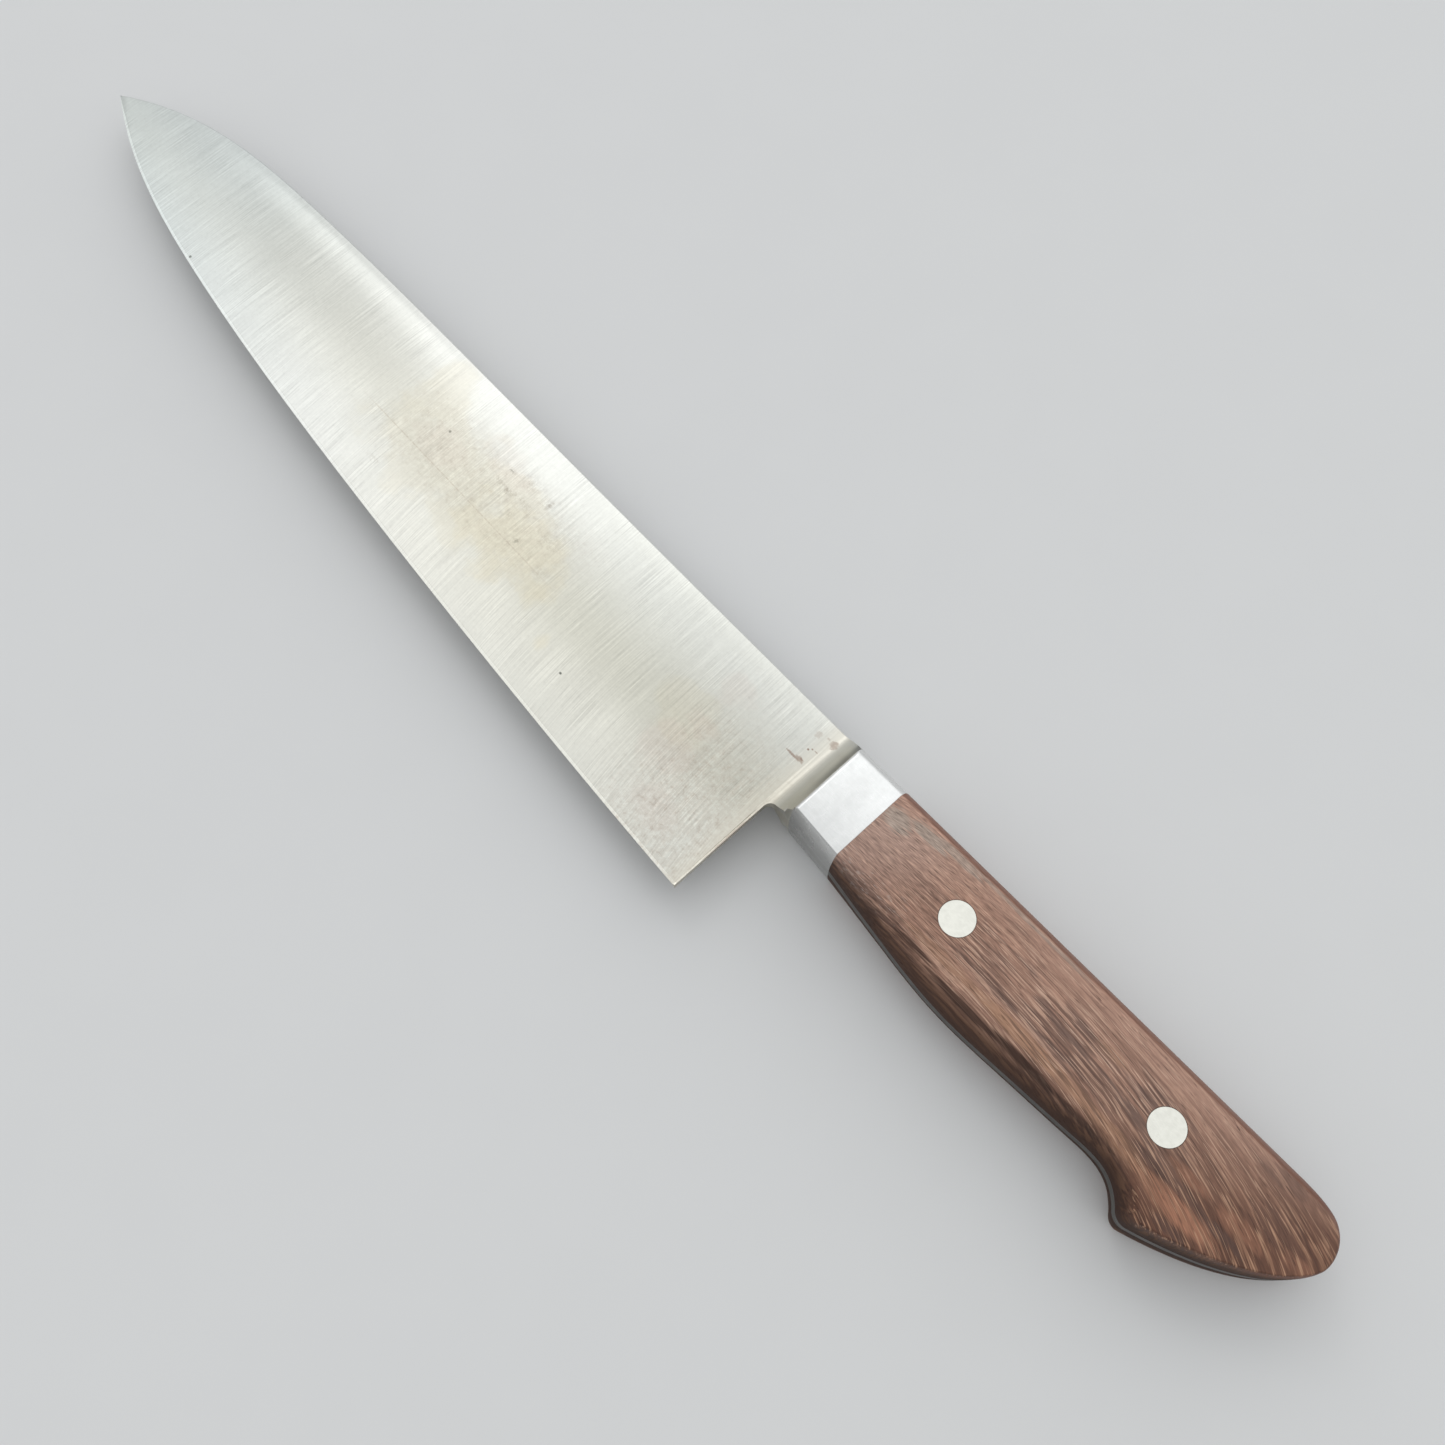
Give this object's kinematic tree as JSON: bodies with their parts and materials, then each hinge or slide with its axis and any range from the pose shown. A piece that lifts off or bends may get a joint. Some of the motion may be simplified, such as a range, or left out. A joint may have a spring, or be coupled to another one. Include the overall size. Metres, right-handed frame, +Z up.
{
  "type": "chef knife",
  "caption": "Chef knife lying on its side: long tapering satin steel blade with a full tang, welded bolster and riveted dark wood scales, hooked at the butt.",
  "frame": {"origin": "on the surface that the knife lies on, under the middle of its bounding box", "axes": "+X along the knife from the tip to the butt, +Y from the cutting edge to the spine, +Z up out of the left side of the blade; the knife lies on its right side"},
  "size_m": [0.368, 0.048, 0.018],
  "materials": {
    "blade_steel": "satin, ground across the blade",
    "bolster_steel": "satin",
    "rosewood": "oiled, dark streaked grain",
    "rivet_metal": "matte nickel silver"
  },
  "bodies": {
    "root": {"blade": "blade_steel", "bolster_left": "bolster_steel", "bolster_right": "bolster_steel", "scale_left": "rosewood", "scale_right": "rosewood", "front_rivet_post": "rivet_metal", "front_rivet_sleeve": "rivet_metal", "rear_rivet_post": "rivet_metal", "rear_rivet_sleeve": "rivet_metal"}
  },
  "joints": []
}
